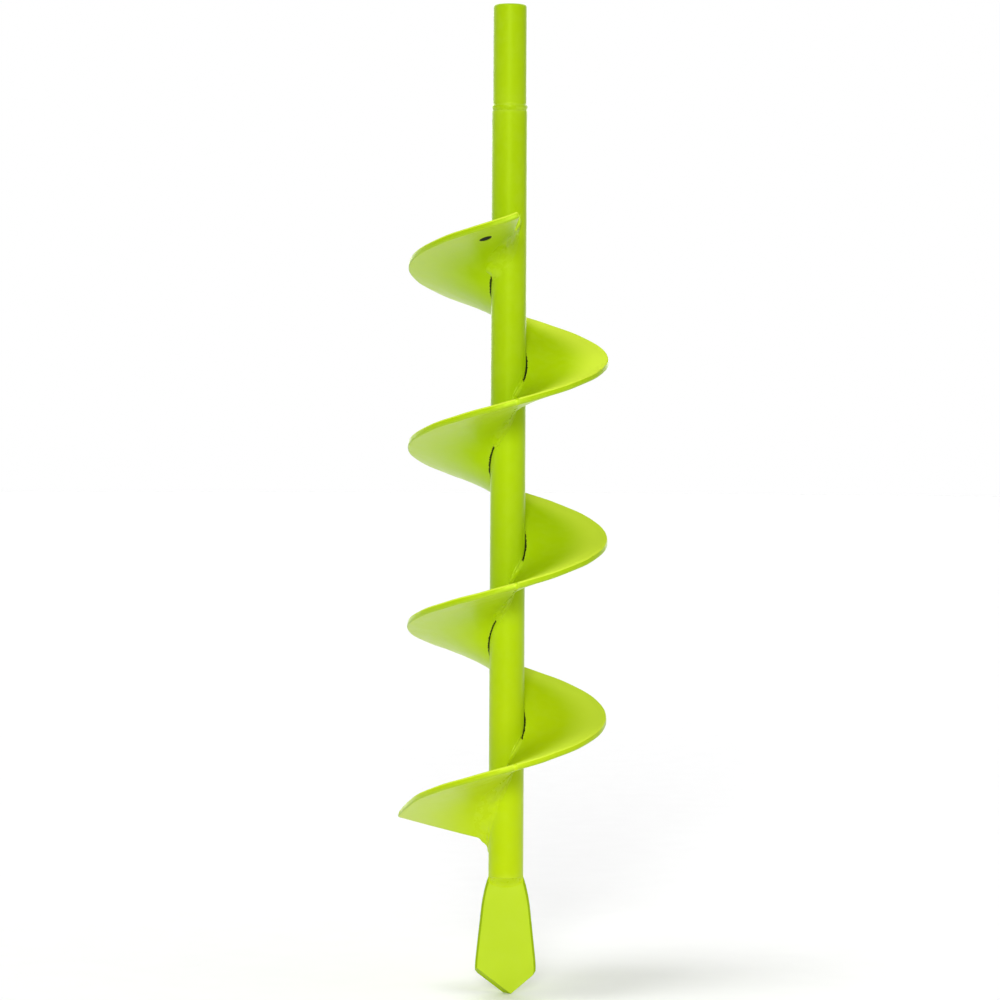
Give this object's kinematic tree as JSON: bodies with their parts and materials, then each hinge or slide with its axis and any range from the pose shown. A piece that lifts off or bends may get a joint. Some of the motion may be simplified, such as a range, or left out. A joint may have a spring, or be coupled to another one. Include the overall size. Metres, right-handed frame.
{
  "type": "ice fishing auger",
  "caption": "Right-hand auger bit for drilling ice holes: drive spigot, tube, welded helical flight with a flared cutting corner, and a flat spade point.",
  "frame": {"origin": "centre of the drive end's flat top face, on the auger's axis", "axes": "+Z along the axis, out of the drive end; the auger hangs down along -Z; -Y is the side that the picture shows, where the spade's flat front and the flight's top end are; +X is to the right there"},
  "size_m": [0.1601, 0.1532, 0.7539],
  "materials": {
    "bar_coat": "glossy lime powder coat on a turned steel bar",
    "tube_coat": "glossy lime powder coat on steel tube",
    "flight_coat": "glossy lime powder coat on formed steel plate, thin and paler near the rim",
    "weld_coat": "glossy lime powder coat over weld beads",
    "point_coat": "glossy lime powder coat on forged steel"
  },
  "bodies": {
    "root": {"drive_spigot": "bar_coat", "spigot_weld": "weld_coat", "shaft_tube": "tube_coat", "flight_turn_1": "flight_coat", "flight_turn_2": "flight_coat", "flight_turn_3": "flight_coat", "cutting_wing": "flight_coat", "seam_weld_1": "weld_coat", "seam_weld_2": "weld_coat", "seam_weld_3": "weld_coat", "flight_end_weld": "weld_coat", "under_weld_1": "weld_coat", "under_weld_2": "weld_coat", "under_weld_3": "weld_coat", "under_weld_4": "weld_coat", "upper_weld_1": "weld_coat", "upper_weld_2": "weld_coat", "upper_weld_3": "weld_coat", "rear_weld_1": "weld_coat", "rear_weld_2": "weld_coat", "rear_weld_3": "weld_coat", "spade_point": "point_coat", "point_weld_front": "weld_coat", "point_weld_back": "weld_coat"}
  },
  "joints": []
}
